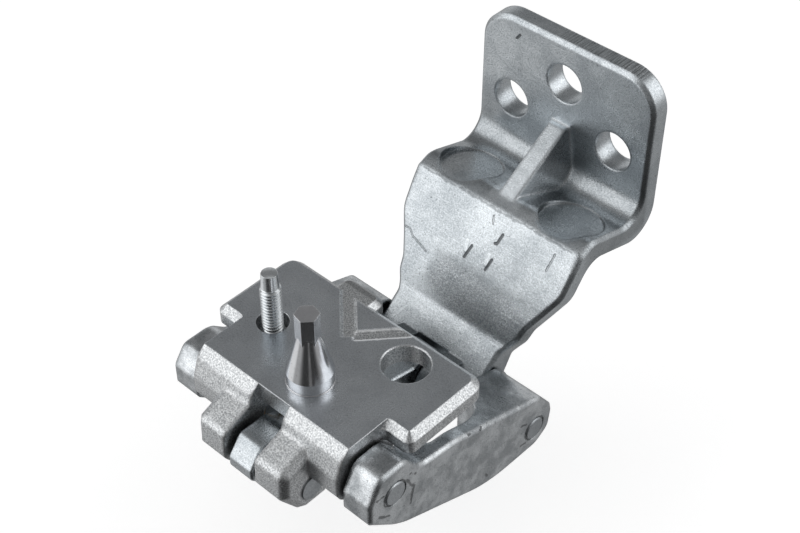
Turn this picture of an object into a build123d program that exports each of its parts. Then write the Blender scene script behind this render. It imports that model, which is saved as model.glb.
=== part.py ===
from build123d import *
import os

# Door hinge: a door plate carried by two levers and a centre link on a gooseneck arm.
# Millimetres. X runs along the hinge pins, Y from the door towards the pillar, Z up.
# The origin is on the door plate's top face, at the middle of its width.

# Pivots, as (Y, Z) places of the pin axes with the door closed
LEVER_FRONT = (-19.3, -18.6)
LEVER_REAR = (58.5, -49.5)
LINK_FRONT = (-32.0, -27.0)
LINK_REAR = (45.4, -41.3)

# Pins, bushes and washers
PIN_RADIUS = 5.0
LINK_REAR_PIN_RADIUS = 4.5
BUSH_WALL = 1.5
RUNNING_GAP = 0.05
SEAT_GAP = 0.02
SIDE_GAP = 0.25
WASHER_THICK = 1.05
WASHER_RADIUS = 9.5
PIN_PROUD = 0.4
PIN_EDGE = 0.6
PIN_END_GAP = 1.0

# Door plate
PLATE_WIDTH = 98.0
PLATE_LENGTH = 56.5
PLATE_REAR = 29.5
PLATE_THICK = 8.0
PLATE_EDGE = 3.0
PLATE_CORNER = 6.0
PLATE_SIDE_CORNER = 3.5
NOTCH_WIDTH = 12.5
NOTCH_LENGTH = 16.5
NOTCH_CORNER = 2.5
BOSS_REACH = 14.2
BOSS_FALL = 10.2
BOSS_ROUND = 7.0
BOSS_BACK = -3.0
BEVEL_SIZE = 3.7
BEVEL_ROUND = 0.8
BROW_DROP = 12.0
BROW_ROUND = 4.0

# Ears that carry the centre link's front pin, sizes from that pin's axis
EAR_WIDTH = 14.5
EAR_RISE = 19.3
EAR_REACH = 13.5
EAR_SHOULDER_RISE = 14.0
EAR_CHIN_RISE = 2.5
EAR_TOE = 5.0
EAR_FALL = 9.5
EAR_HEEL = 8.0
EAR_ROUND = 3.0
EAR_OUTER_BEVEL = 2.6
SLOT_HALF = 8.0

# Fixings on the door plate
STUD_PLACE = (-26.5, -2.5)
STUD_RADIUS = 4.0
STUD_HEIGHT = 24.5
STUD_POINT_LENGTH = 6.4
STUD_POINT_BASE = 3.4
STUD_POINT_TIP = 3.15
STUD_ROOT = 16.0
STUD_ROOT_RADIUS = 4.5
STUD_RECESS_RADIUS = 6.2
STUD_RECESS_DEPTH = 7.0
STUD_BOSS_RADIUS = 9.0
STUD_BOSS_DEPTH = 18.0
TAPER_PLACE = (3.7, -12.9)
TAPER_BASE_RADIUS = 8.8
TAPER_BASE_HEIGHT = 5.0
TAPER_TOP = 21.8
TAPER_HEX_FLATS = 8.0
TAPER_HEX_TURN = -13.0
TAPER_HEIGHT = 31.6
TAPER_SHANK_RADIUS = 6.0
TAPER_SEAT_STEP = 0.2
TAPER_SEAT_DEPTH = 1.0
PLATE_HOLE_PLACE = (23.6, 15.1)
PLATE_HOLE_RADIUS = 9.0
PLATE_HOLE_EDGE = 0.5

# As-cast V on the plate's top and the ledge behind it
CAST_DROP = 1.2
VEE_TIP = (-1.6, 11.8)
VEE_LEFT_END = (-24.0, 34.0)
VEE_RIGHT_START = (0.2, 12.8)
VEE_RIGHT_END = (13.8, 28.0)
VEE_LEFT_WIDTH = 6.4
VEE_RIGHT_WIDTH = 4.8
LEDGE_LEFT = -25.5
LEDGE_RIGHT = -5.5
LEDGE_REACH = 6.5
LEDGE_FALL = 2.4
LEDGE_CORNER = 4.0

# Levers
LEVER_THICK = 12.7
LEVER_HUB_START = 39.0
LEVER_EDGE = 1.2
BAR_THICK = 5.9
BAR_START = 17.0
BAR_RUN = 6.0
BAR_ROUND = 5.0
KNUCKLE_REACH = 12.5
RIGHT_KNUCKLE_RISE = 12.4
LEFT_KNUCKLE_RISE = 9.6
KNUCKLE_FACET = 5.3
KNUCKLE_ROUND = 5.0
FACET_FOOT = 2.0
FACET_ROUND = 1.5
KNUCKLE_TOE = -7.0
KNUCKLE_TOE_ROUND = 3.0
KNUCKLE_NAPE = 5.5
KNUCKLE_NAPE_ROUND = 7.0
# Outline of the bar, as (Y, Z, corner radius) from the front pivot
BAR_CHIN = (2.5, -20.4, 30.0)
BAR_WAIST = (13.0, 3.2, 8.0)
BAR_BACK = (31.5, 0.6, 25.0)
# and from the rear pivot
HEEL_CREST = (3.0, 15.3, 7.0)
HEEL_BACK = (11.0, 4.5, 6.0)
HEEL_LOW = (9.5, -6.0, 6.0)
HEEL_FOOT = (2.0, -10.8, 10.0)
BAR_BELLY = (-27.5, -10.0, 60.0)

# Centre link
LINK_HALF = 6.0
LINK_NOSE = 13.4
LINK_REAR_EYE_WALL = 3.6
LINK_BAR_HALF = 7.0
LINK_TAIL = 6.0
# Outline of its front eye, as (Y, Z, corner radius) from the front pivot
NOSE_LOW = (-LINK_NOSE, 1.0, 3.0)
NOSE_FACET = (-LINK_NOSE, 5.5, 1.0)
NOSE_TOP = (-7.9, LINK_NOSE, 4.0)
NOSE_BACK = (5.0, LINK_NOSE, 6.0)
LINK_NAPE = (15.0, 6.0, 12.0)
LINK_BELLY = (26.0, -16.0, 40.0)
NOSE_CHIN = (-2.0, -12.0, 8.0)
LINK_EDGE = 0.8
OPEN_PIVOT_GAP = 1.7
LINK_REST_RISE = 1.13

# Gooseneck arm, whose front face bends at these (Y, Z) places
ARM_NECK = (67.0, -27.0)
ARM_KNEE = (76.5, -13.5)
ARM_FOLD = (91.5, 11.0)
ARM_CREST = (99.0, 13.9)
ARM_BEND = (129.0, 4.9)
ARM_NECK_ROUND = 8.0
ARM_KNEE_ROUND = 25.0
ARM_FOLD_ROUND = 2.0
ARM_CREST_ROUND = 8.0
ARM_BEND_ROUND = 9.0
ARM_THICK = 9.7
ARM_FOOT_HALF = 41.5
ARM_FOOT_TOP = 68.3
ARM_FOOT_CORNER = 15.0
ARM_EDGE = 1.6
ARM_ROOT_HALF = 27.0
# Flare of its wall, as (share of the way from root to foot width, height from the knee, corner radius)
FLARE_START = (0.0, -20.0, 5.0)
FLARE_NECK = (0.28, -13.0, 8.0)
FLARE_WAIST = (0.35, -7.5, 10.0)
FLARE_SHOULDER = (0.96, 10.5, 14.0)
FLARE_END = (1.0, 22.0, 20.0)
ARM_HUB_RADIUS = 12.0
ARM_LUG_RADIUS = 9.0
ARM_LUG_HALF = 16.0
ARM_HOLE_RADIUS = 8.4
ARM_HOLE_SPACING = 50.2
ARM_HOLE_LOW = 31.0
ARM_HOLE_HIGH = 50.0
RIB_HALF = 3.8
RIB_FLARE = 0.22
RIB_START = (97.5, 13.4)
RIB_TOP = 31.5
RIB_CAP = 2.5
POCKET_Y = 106.0
POCKET_RADIUS = 13.0
POCKET_FLOOR = 9.4
POCKET_TILT = -8.0

# Sizes that follow from the above
PLATE_HALF = PLATE_WIDTH / 2
PLATE_FRONT = PLATE_REAR - PLATE_LENGTH
TONGUE_HALF = PLATE_HALF - NOTCH_WIDTH
NOTCH_BACK = PLATE_FRONT + NOTCH_LENGTH
LEVER_INNER = TONGUE_HALF + SIDE_GAP + WASHER_THICK
LEVER_OUTER = LEVER_INNER + LEVER_THICK
BAR_INNER = LEVER_OUTER - BAR_THICK
LEVER_HUB_INNER = ARM_ROOT_HALF + SIDE_GAP + WASHER_THICK
ARM_FOOT_FRONT = ARM_BEND[0]
ARM_FOOT_BACK = ARM_FOOT_FRONT + ARM_THICK
FRONT_WASHER_INNER = LEVER_INNER - WASHER_THICK
REAR_WASHER_INNER = LEVER_HUB_INNER - WASHER_THICK
BUSH_BORE = PIN_RADIUS + RUNNING_GAP
BUSH_RADIUS = BUSH_BORE + BUSH_WALL
EAR_OUTER = SLOT_HALF + EAR_WIDTH
TAPER_SEAT_RADIUS = TAPER_BASE_RADIUS + TAPER_SEAT_STEP
PIN_INNER = SLOT_HALF + PIN_END_GAP
LINK_REAR_EYE_BORE = LINK_REAR_PIN_RADIUS + OPEN_PIVOT_GAP
LINK_REAR_EYE_RADIUS = LINK_REAR_EYE_BORE + LINK_REAR_EYE_WALL
LINK_EYE_REST = (LINK_REAR[0], LINK_REAR[1] + LINK_REST_RISE)


def outline(*corners):
    """Closed face from (u, v, corner radius) rows."""
    points = [(u, v) for u, v, _ in corners]
    return make_face(FilletPolyline(*points, radius=[r for _, _, r in corners], close=True))


def across(face, x0, x1):
    """A YZ face drawn out along the pins from x0 to x1."""
    return extrude(Plane.YZ.offset(x0) * face, x1 - x0, dir=(1, 0, 0))


def rod(place, radius, x0, x1):
    return across(Pos(*place) * Circle(radius), x0, x1)


def upright(face, z0, z1):
    return extrude(Pos(0, 0, z0) * face, z1 - z0, dir=(0, 0, 1))


def shifted(place, *rows):
    """Outline rows given from a pivot."""
    return [(place[0] + u, place[1] + v, r) for u, v, r in rows]


def mirrored(*rows):
    """Outline rows for the right half, closed by the same rows on the left."""
    return [*rows, *((-u, v, r) for u, v, r in reversed(rows))]


def parallel(start, end, distance):
    """The straight line from start to end, moved to its right."""
    along = (Vector(*end) - Vector(*start)).normalized()
    step = Vector(along.Y, -along.X) * distance
    return Vector(*start) + step, Vector(*end) + step


def crossing(line, other):
    """The place where two straight lines meet."""
    run = line[1] - line[0]
    other_run = other[1] - other[0]
    share = (other[0] - line[0]).cross(other_run).Z / run.cross(other_run).Z
    place = line[0] + run * share
    return place.X, place.Y


def both_sides(part):
    return part + mirror(part, Plane.YZ)


def edges_at(part, axis, value, reach=0.01):
    return part.edges().filter_by_position(axis, value - reach, value + reach)


def strip(start, end, width, depth):
    """A straight groove with sloping ends and flat floor, cut from the top face."""
    along = Vector(*end) - Vector(*start)
    turn = Vector(1, 0).get_signed_angle(along, Vector(0, 0, 1))
    middle = (Vector(*start) + Vector(*end)) * 0.5
    place = Pos(middle.X, middle.Y, 0) * Rot(0, 0, turn)
    floor = Pos(0, 0, -depth) * Rectangle(along.length, width - 2 * depth)
    mouth = Pos(0, 0, depth) * Rectangle(along.length + 4 * depth, width + 2 * depth)
    return place * loft([floor, mouth], ruled=True)


def door_plate():
    slab_face = outline(
        (-PLATE_HALF, PLATE_REAR, PLATE_CORNER),
        (-PLATE_HALF, NOTCH_BACK, PLATE_SIDE_CORNER),
        (-TONGUE_HALF, NOTCH_BACK, NOTCH_CORNER),
        (-TONGUE_HALF, PLATE_FRONT, 0),
        (TONGUE_HALF, PLATE_FRONT, 0),
        (TONGUE_HALF, NOTCH_BACK, NOTCH_CORNER),
        (PLATE_HALF, NOTCH_BACK, PLATE_SIDE_CORNER),
        (PLATE_HALF, PLATE_REAR, PLATE_CORNER),
    )
    slab = upright(slab_face, -PLATE_THICK, 0)
    rim = edges_at(slab, Axis.Z, 0)
    front_edge = edges_at(rim, Axis.Y, PLATE_FRONT)
    slab = chamfer([e for e in rim if e not in front_edge], PLATE_EDGE)

    # Front boss with the levers' pivot, bevelled at the top
    pivot_y, pivot_z = LEVER_FRONT
    boss_front = pivot_y - BOSS_REACH
    boss_face = outline(
        (PLATE_FRONT, 0, BEVEL_ROUND),
        (PLATE_FRONT - BEVEL_SIZE, -BEVEL_SIZE, BEVEL_ROUND),
        (boss_front, -BROW_DROP, BROW_ROUND),
        (boss_front, pivot_z - BOSS_FALL / 4, BOSS_ROUND),
        (pivot_y - BOSS_FALL / 2, pivot_z - BOSS_FALL, BOSS_ROUND),
        (pivot_y + BOSS_FALL, pivot_z - BOSS_FALL, BOSS_ROUND),
        (BOSS_BACK, -PLATE_THICK, 0),
        (BOSS_BACK, 0, 0),
    )
    boss = across(boss_face, -TONGUE_HALF, TONGUE_HALF)

    # Ears ahead of the boss
    ear_face = outline(
        *shifted(
            LINK_FRONT,
            (0, EAR_RISE, 0),
            (-EAR_REACH + 0.5, EAR_SHOULDER_RISE, EAR_ROUND),
            (-EAR_REACH, EAR_CHIN_RISE, EAR_ROUND),
            (-EAR_TOE, -EAR_FALL, EAR_ROUND),
            (EAR_HEEL, -EAR_FALL, EAR_ROUND),
        ),
        (LEVER_FRONT[0], LEVER_FRONT[1], 0),
    )
    ear = across(ear_face, SLOT_HALF, EAR_OUTER)
    outer_rim = edges_at(ear, Axis.X, EAR_OUTER).sort_by(Axis.Y)[:4]
    ear = chamfer(outer_rim, EAR_OUTER_BEVEL)

    # Ledge left as cast behind the rear edge
    ledge_face = Pos((LEDGE_LEFT + LEDGE_RIGHT) / 2, PLATE_REAR) * Rectangle(
        LEDGE_RIGHT - LEDGE_LEFT, 2 * LEDGE_REACH
    )
    ledge = upright(ledge_face, -PLATE_THICK, -CAST_DROP)
    back_edges = ledge.edges().filter_by(Axis.Z).group_by(Axis.Y)[-1]
    ledge = fillet(back_edges, LEDGE_CORNER)
    slope = chamfer(
        edges_at(edges_at(ledge, Axis.Z, -CAST_DROP), Axis.Y, PLATE_REAR + LEDGE_REACH),
        LEDGE_FALL,
    )
    stud_boss = Pos(*STUD_PLACE) * upright(Circle(STUD_BOSS_RADIUS), -STUD_BOSS_DEPTH, -PLATE_THICK)
    plate = slab + boss + both_sides(ear) + slope + stud_boss

    # Slot for the centre link, open below and at the front
    below = LINK_FRONT[1] - 2 * BOSS_REACH
    ahead = LINK_FRONT[0] - 2 * EAR_REACH
    front_slot = across(outline((ahead, below, 0), (ahead, 1, 0),
                                (PLATE_FRONT, 1, 0), (PLATE_FRONT, below, 0)),
                        -SLOT_HALF, SLOT_HALF)
    under_slot = across(outline((ahead, below, 0), (ahead, -PLATE_THICK, 0),
                                (BOSS_BACK, -PLATE_THICK, 0), (BOSS_BACK, below, 0)),
                        -SLOT_HALF, SLOT_HALF)
    plate -= front_slot + under_slot

    # Bores, the stud's recess and tapped hole, the pin's seat and the through hole
    plate -= both_sides(rod(LEVER_FRONT, BUSH_RADIUS + SEAT_GAP, SLOT_HALF - 1, TONGUE_HALF + 1))
    plate -= rod(LINK_FRONT, PIN_RADIUS + SEAT_GAP, -EAR_OUTER - 1, EAR_OUTER + 1)
    plate -= Pos(*STUD_PLACE) * upright(Circle(STUD_RECESS_RADIUS), -STUD_RECESS_DEPTH, 1)
    plate -= Pos(*STUD_PLACE) * upright(Circle(STUD_ROOT_RADIUS + SEAT_GAP), -STUD_ROOT, 0)
    plate -= Pos(*TAPER_PLACE) * upright(Circle(TAPER_SHANK_RADIUS + SEAT_GAP), -PLATE_THICK - 1, 1)
    plate -= Pos(*TAPER_PLACE) * upright(Circle(TAPER_SEAT_RADIUS + SEAT_GAP), -TAPER_SEAT_DEPTH, 1)
    hole_rim = Cone(PLATE_HOLE_RADIUS, PLATE_HOLE_RADIUS + 2 * PLATE_HOLE_EDGE, 2 * PLATE_HOLE_EDGE)
    plate -= Pos(*PLATE_HOLE_PLACE) * upright(Circle(PLATE_HOLE_RADIUS), -PLATE_THICK - 1, 1)
    plate -= Pos(*PLATE_HOLE_PLACE) * hole_rim

    # As-cast V in the ground top face
    plate -= strip(VEE_LEFT_END, VEE_TIP, VEE_LEFT_WIDTH, CAST_DROP)
    plate -= strip(VEE_RIGHT_START, VEE_RIGHT_END, VEE_RIGHT_WIDTH, CAST_DROP)
    return plate


def threaded_stud():
    thread_top = STUD_HEIGHT - STUD_POINT_LENGTH
    half_section = Polyline(
        (0, -STUD_ROOT),
        (STUD_ROOT_RADIUS, -STUD_ROOT),
        (STUD_ROOT_RADIUS, -STUD_RECESS_DEPTH),
        (STUD_RADIUS, -STUD_RECESS_DEPTH),
        (STUD_RADIUS, thread_top - (STUD_RADIUS - STUD_POINT_BASE)),
        (STUD_POINT_BASE, thread_top),
        (STUD_POINT_TIP, STUD_HEIGHT),
        (0, STUD_HEIGHT),
        close=True,
    )
    return Pos(*STUD_PLACE) * revolve(Plane.XZ * make_face(half_section), Axis.Z)


def taper_locating_pin():
    hex_half = TAPER_HEX_FLATS / 2
    half_section = Polyline(
        (0, -PLATE_THICK),
        (TAPER_SHANK_RADIUS, -PLATE_THICK),
        (TAPER_SHANK_RADIUS, -TAPER_SEAT_DEPTH),
        (TAPER_SEAT_RADIUS, -TAPER_SEAT_DEPTH),
        (TAPER_SEAT_RADIUS, 0),
        (TAPER_BASE_RADIUS, 0),
        (TAPER_BASE_RADIUS, TAPER_BASE_HEIGHT),
        (hex_half, TAPER_TOP),
        (0, TAPER_TOP),
        close=True,
    )
    body = revolve(Plane.XZ * make_face(half_section), Axis.Z)
    hexagon = RegularPolygon(hex_half, 6, major_radius=False, rotation=TAPER_HEX_TURN)
    return Pos(*TAPER_PLACE) * (body + upright(hexagon, TAPER_BASE_HEIGHT, TAPER_HEIGHT))


def right_lever(knuckle_rise):
    front, rear = LEVER_FRONT, LEVER_REAR
    face = outline(
        *shifted(
            front,
            (-KNUCKLE_REACH, KNUCKLE_TOE, KNUCKLE_TOE_ROUND),
            (-KNUCKLE_REACH, FACET_FOOT, FACET_ROUND),
            (-KNUCKLE_REACH + KNUCKLE_FACET, knuckle_rise, KNUCKLE_ROUND),
            (KNUCKLE_NAPE, knuckle_rise, KNUCKLE_NAPE_ROUND),
            BAR_WAIST,
            BAR_BACK,
        ),
        *shifted(rear, HEEL_CREST, HEEL_BACK, HEEL_LOW, HEEL_FOOT, BAR_BELLY),
        *shifted(front, BAR_CHIN),
    )
    lever = across(face, LEVER_HUB_INNER, LEVER_OUTER)
    # The bar is thinner than its knuckle and its rear hub: the inner side is swept away between them
    ahead = front[0] - 3 * KNUCKLE_REACH
    behind = front[0] + BAR_START
    sweep = upright(
        outline(
            (LEVER_HUB_INNER - 1, ahead, 0),
            (LEVER_INNER, ahead, 0),
            (LEVER_INNER, behind, BAR_ROUND),
            (BAR_INNER, behind + BAR_RUN, BAR_ROUND),
            (BAR_INNER, LEVER_HUB_START, BAR_INNER - LEVER_HUB_INNER),
            (LEVER_HUB_INNER - 1, LEVER_HUB_START, 0),
        ),
        rear[1] - 4 * ARM_HUB_RADIUS,
        1,
    )
    lever -= sweep
    lever = chamfer(edges_at(lever, Axis.X, LEVER_OUTER), LEVER_EDGE)
    for place in (front, rear):
        lever -= rod(place, PIN_RADIUS + SEAT_GAP, LEVER_HUB_INNER - 1, LEVER_OUTER + 1)
    return lever


def right_lever_pin(place):
    pin = rod(place, PIN_RADIUS, PIN_INNER, LEVER_OUTER + PIN_PROUD)
    return chamfer(edges_at(pin, Axis.X, LEVER_OUTER + PIN_PROUD), PIN_EDGE)


def right_bush(place, outer):
    return rod(place, BUSH_RADIUS, PIN_INNER, outer) - rod(place, BUSH_BORE, PIN_INNER, outer)


def right_washer(place, inner):
    ring = Circle(WASHER_RADIUS) - Circle(PIN_RADIUS + SEAT_GAP)
    return across(Pos(*place) * ring, inner, inner + WASHER_THICK)


def centre_link():
    front, rear = LINK_FRONT, LINK_EYE_REST
    face = outline(
        *shifted(front, NOSE_LOW, NOSE_FACET, NOSE_TOP, NOSE_BACK, LINK_NAPE),
        *shifted(rear, (-LINK_TAIL, LINK_BAR_HALF, 0), (-LINK_TAIL, -LINK_BAR_HALF, 0)),
        *shifted(front, LINK_BELLY, NOSE_CHIN),
    )
    face += Pos(*rear) * Circle(LINK_REAR_EYE_RADIUS)
    link = across(face, -LINK_HALF, LINK_HALF)
    link = chamfer(edges_at(link, Axis.X, LINK_HALF) + edges_at(link, Axis.X, -LINK_HALF), LINK_EDGE)
    link -= rod(front, BUSH_RADIUS + SEAT_GAP, -LINK_HALF - 1, LINK_HALF + 1)
    link -= rod(rear, LINK_REAR_EYE_BORE, -LINK_HALF - 1, LINK_HALF + 1)
    return link


def gooseneck_arm():
    hub_y, hub_z = LEVER_REAR
    # Side view of the bent plate, up the front face and down the back
    neck_back = parallel(ARM_NECK, ARM_KNEE, ARM_THICK)
    wall_back = parallel(ARM_KNEE, ARM_FOLD, ARM_THICK)
    ledge_under = parallel(ARM_CREST, ARM_BEND, ARM_THICK)
    foot_back = parallel(ARM_BEND, (ARM_FOOT_FRONT, ARM_FOOT_TOP), ARM_THICK)
    side = outline(
        (hub_y - 0.7 * ARM_HUB_RADIUS, hub_z + 0.7 * ARM_HUB_RADIUS, 0),
        (*ARM_NECK, ARM_NECK_ROUND),
        (*ARM_KNEE, ARM_KNEE_ROUND),
        (*ARM_FOLD, ARM_FOLD_ROUND),
        (*ARM_CREST, ARM_CREST_ROUND),
        (*ARM_BEND, ARM_BEND_ROUND),
        (ARM_FOOT_FRONT, ARM_FOOT_TOP, 0),
        (ARM_FOOT_BACK, ARM_FOOT_TOP, 0),
        (*crossing(ledge_under, foot_back), 1.5 * ARM_BEND_ROUND),
        (*crossing(wall_back, ledge_under), ARM_CREST_ROUND),
        (*crossing(neck_back, wall_back), 0.8 * ARM_KNEE_ROUND),
        (ARM_NECK[0] + 0.88 * ARM_THICK, ARM_NECK[1] - ARM_THICK / 2, 1.5 * ARM_NECK_ROUND),
        (hub_y + 0.85 * ARM_HUB_RADIUS, hub_z + 0.5 * ARM_HUB_RADIUS, 0),
        (hub_y, hub_z, 0),
    )
    side += Pos(hub_y, hub_z) * Circle(ARM_HUB_RADIUS)
    bent = across(side, -ARM_FOOT_HALF - 1, ARM_FOOT_HALF + 1)

    # Sides flared from the root to the shoulders, cut square to the wall
    rise = (Vector(*ARM_FOLD) - Vector(*ARM_KNEE)).normalized()
    wall = Plane((0, *ARM_KNEE), x_dir=(1, 0, 0), z_dir=(0, -rise.Y, rise.X))
    flare = [(ARM_ROOT_HALF + share * (ARM_FOOT_HALF - ARM_ROOT_HALF), height, radius)
             for share, height, radius in (FLARE_START, FLARE_NECK, FLARE_WAIST, FLARE_SHOULDER, FLARE_END)]
    wall_face = outline(*mirrored(
        (ARM_ROOT_HALF, -ARM_FOOT_BACK, 0),
        *flare,
        (ARM_FOOT_HALF, ARM_FOOT_BACK, 0),
    ))
    arm = bent & extrude(wall.offset(-ARM_FOOT_BACK) * wall_face, 2 * ARM_FOOT_BACK, dir=wall.z_dir)

    # Foot with rounded top corners
    foot_face = outline(*mirrored((ARM_FOOT_HALF, -ARM_FOOT_BACK, 0),
                                  (ARM_FOOT_HALF, ARM_FOOT_TOP, ARM_FOOT_CORNER)))
    arm &= extrude(Plane.XZ * foot_face, 2 * ARM_FOOT_BACK, dir=(0, 1, 0))

    # Rim of the front face, eased from the neck up and round the foot
    def looks_forward(face):
        normal = face.normal_at()
        below_top = face.center().Z < ARM_FOOT_TOP - ARM_EDGE
        return normal.Z - normal.Y > 0.4 and abs(normal.X) < 0.1 and below_top

    front_edges = [e for face in arm.faces().filter_by(looks_forward) for e in face.edges()]
    rim = [e for e in front_edges if front_edges.count(e) == 1 and e.center().Z > ARM_NECK[1]]
    arm = chamfer(rim, ARM_EDGE)
    back_rim = [e for e in edges_at(arm, Axis.Y, ARM_FOOT_BACK) if e.center().Z > ARM_BEND[1]]
    arm = chamfer(back_rim, ARM_EDGE)

    # Gusset rib in the bend, with flanks that spread towards the plate
    rib_end = (ARM_FOOT_FRONT - RIB_CAP, RIB_TOP)
    rib_face = outline(
        (*RIB_START, 0),
        (*rib_end, 0),
        (ARM_FOOT_FRONT + 1, RIB_TOP, 0),
        (ARM_FOOT_FRONT + 1, ARM_BEND[1] - 1, 0),
        (RIB_START[0], ARM_CREST[1] - ARM_THICK / 2, 0),
    )
    slope = Vector(*rib_end) - Vector(*RIB_START)
    rib_run = Plane((0, *RIB_START), x_dir=(1, 0, 0), z_dir=(0, -slope.X, -slope.Y))
    spread = RIB_HALF + RIB_FLARE * slope.length
    rib_section = outline(*mirrored((RIB_HALF, 0, 0), (spread, -slope.length, 0)))
    flanks = extrude(rib_run.offset(-2 * slope.length) * rib_section, 3 * slope.length, dir=rib_run.z_dir)
    rib = across(rib_face, -spread, spread) & flanks

    # Two lugs for the link's rear pin, with the link's slot between them
    lugs = across(make_hull([*(Pos(*LINK_REAR) * Circle(ARM_LUG_RADIUS)).edges(),
                             *(Pos(*LEVER_REAR) * Circle(ARM_HUB_RADIUS)).edges()]),
                  -ARM_LUG_HALF, ARM_LUG_HALF)
    arm = arm + rib + lugs
    slot_radius = LINK_REAR_EYE_RADIUS + OPEN_PIVOT_GAP + PIN_END_GAP
    arm -= rod(LINK_REAR, slot_radius, -SLOT_HALF, SLOT_HALF)

    # Bores, fixing holes and bolt-head pockets
    arm -= both_sides(rod(LEVER_REAR, BUSH_RADIUS + SEAT_GAP, PIN_INNER - 0.5, ARM_ROOT_HALF + 1))
    arm -= rod(LINK_REAR, LINK_REAR_PIN_RADIUS + SEAT_GAP, -ARM_LUG_HALF - 1, ARM_LUG_HALF + 1)
    for x, z in arm_hole_places():
        hole = Plane.XZ * (Pos(x, z) * Circle(ARM_HOLE_RADIUS))
        arm -= extrude(hole, 2 * ARM_FOOT_BACK, dir=(0, 1, 0))
    for x in (-ARM_HOLE_SPACING / 2, ARM_HOLE_SPACING / 2):
        pocket = upright(Circle(POCKET_RADIUS), 0, ARM_HOLE_LOW - ARM_HOLE_RADIUS - ARM_CREST[1])
        arm -= Pos(x, POCKET_Y, POCKET_FLOOR) * Rot(POCKET_TILT, 0, 0) * pocket
    return arm


def arm_hole_places():
    half = ARM_HOLE_SPACING / 2
    return [(-half, ARM_HOLE_LOW), (half, ARM_HOLE_LOW), (0, ARM_HOLE_HIGH)]


def save(name, part):
    export_step(part, f"parts/{name}.step")


def save_pair(name, part):
    save(f"right_{name}", part)
    save(f"left_{name}", mirror(part, Plane.YZ))


os.makedirs("parts", exist_ok=True)
save("door_plate", door_plate())
save("threaded_stud", threaded_stud())
save("taper_locating_pin", taper_locating_pin())
save("gooseneck_arm", gooseneck_arm())
save("centre_link", centre_link())
save("right_lever", right_lever(RIGHT_KNUCKLE_RISE))
save("left_lever", mirror(right_lever(LEFT_KNUCKLE_RISE), Plane.YZ))
save_pair("front_pin", right_lever_pin(LEVER_FRONT))
save_pair("rear_pin", right_lever_pin(LEVER_REAR))
save_pair("front_bush", right_bush(LEVER_FRONT, TONGUE_HALF))
save_pair("rear_bush", right_bush(LEVER_REAR, ARM_ROOT_HALF))
save_pair("front_washer", right_washer(LEVER_FRONT, FRONT_WASHER_INNER))
save_pair("rear_washer", right_washer(LEVER_REAR, REAR_WASHER_INNER))
link_bush = rod(LINK_FRONT, BUSH_RADIUS, -LINK_HALF, LINK_HALF)
save("link_front_bush", link_bush - rod(LINK_FRONT, BUSH_BORE, -LINK_HALF, LINK_HALF))
ear_pin = rod(LINK_FRONT, PIN_RADIUS, -EAR_OUTER - PIN_PROUD, EAR_OUTER + PIN_PROUD)
save("ear_pin", ear_pin)
rear_pin = rod(LINK_REAR, LINK_REAR_PIN_RADIUS, -ARM_LUG_HALF - PIN_PROUD, ARM_LUG_HALF + PIN_PROUD)
save("link_rear_pin", rear_pin)
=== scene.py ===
import math
import bmesh
import bpy
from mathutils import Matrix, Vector


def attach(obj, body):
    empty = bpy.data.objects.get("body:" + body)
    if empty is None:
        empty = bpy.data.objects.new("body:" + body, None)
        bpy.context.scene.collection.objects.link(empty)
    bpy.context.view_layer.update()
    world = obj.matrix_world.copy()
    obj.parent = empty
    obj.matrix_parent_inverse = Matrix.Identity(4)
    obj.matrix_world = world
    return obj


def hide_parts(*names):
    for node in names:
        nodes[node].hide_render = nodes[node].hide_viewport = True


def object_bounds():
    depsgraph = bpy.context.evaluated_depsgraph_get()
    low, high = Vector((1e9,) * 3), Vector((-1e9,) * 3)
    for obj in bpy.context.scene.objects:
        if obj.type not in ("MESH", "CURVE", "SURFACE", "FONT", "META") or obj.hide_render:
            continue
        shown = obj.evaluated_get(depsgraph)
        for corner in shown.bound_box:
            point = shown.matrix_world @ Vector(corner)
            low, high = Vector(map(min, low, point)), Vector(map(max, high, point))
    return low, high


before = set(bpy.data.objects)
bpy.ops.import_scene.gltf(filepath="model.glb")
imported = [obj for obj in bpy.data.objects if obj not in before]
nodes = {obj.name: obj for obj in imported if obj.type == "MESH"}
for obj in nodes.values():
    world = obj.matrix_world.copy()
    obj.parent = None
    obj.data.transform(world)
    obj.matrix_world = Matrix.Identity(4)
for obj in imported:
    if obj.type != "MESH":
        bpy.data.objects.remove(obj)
cad_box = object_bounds()

MM = 0.001

# The stud's place, heights and radii in millimetres from the middle of the plate's top face
STUD_PLACE = (-26.5, -2.5)
STUD_ROOT = -16.0
STUD_ROOT_RADIUS = 4.5
STUD_RECESS = -7.0
STUD_TOP = 24.5
STUD_SEGMENTS = 48
THREAD_TOP = 18.1
THREAD_PITCH = 1.45
THREAD_MAJOR = 4.0
THREAD_MINOR = 3.16
THREAD_FADE = 1.0
POINT_BASE_RADIUS = 3.4
POINT_TIP_RADIUS = 3.15
# One turn of the thread as (share of the pitch, share of the thread's depth)
THREAD_STEPS = [(0.0, 0.0), (0.08, 0.0), (0.42, 1.0), (0.58, 1.0), (0.92, 0.0)]
# The rounded end of the stud's point as (inset from its radius, depth below its top)
POINT_ROUND = [(0.0, 0.45), (0.12, 0.15), (0.4, 0.0)]

# Pin axes and the arm's fold line as (Y, Z) in millimetres, with the door closed
LEVER_FRONT = (-19.3, -18.6)
LEVER_REAR = (58.5, -49.5)
PIN_RADIUS = 5.0
ARM_FOLD = (91.6, 10.9)

# Radii of the soft edges in millimetres
ARM_EDGE = 1.3
ARM_RIB_ROUND = 2.1
ARM_FOLD_ROUND = 3.4
PLATE_EDGE = 0.6
EAR_ROUND = 2.6
TAPER_EDGE = 0.25

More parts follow.
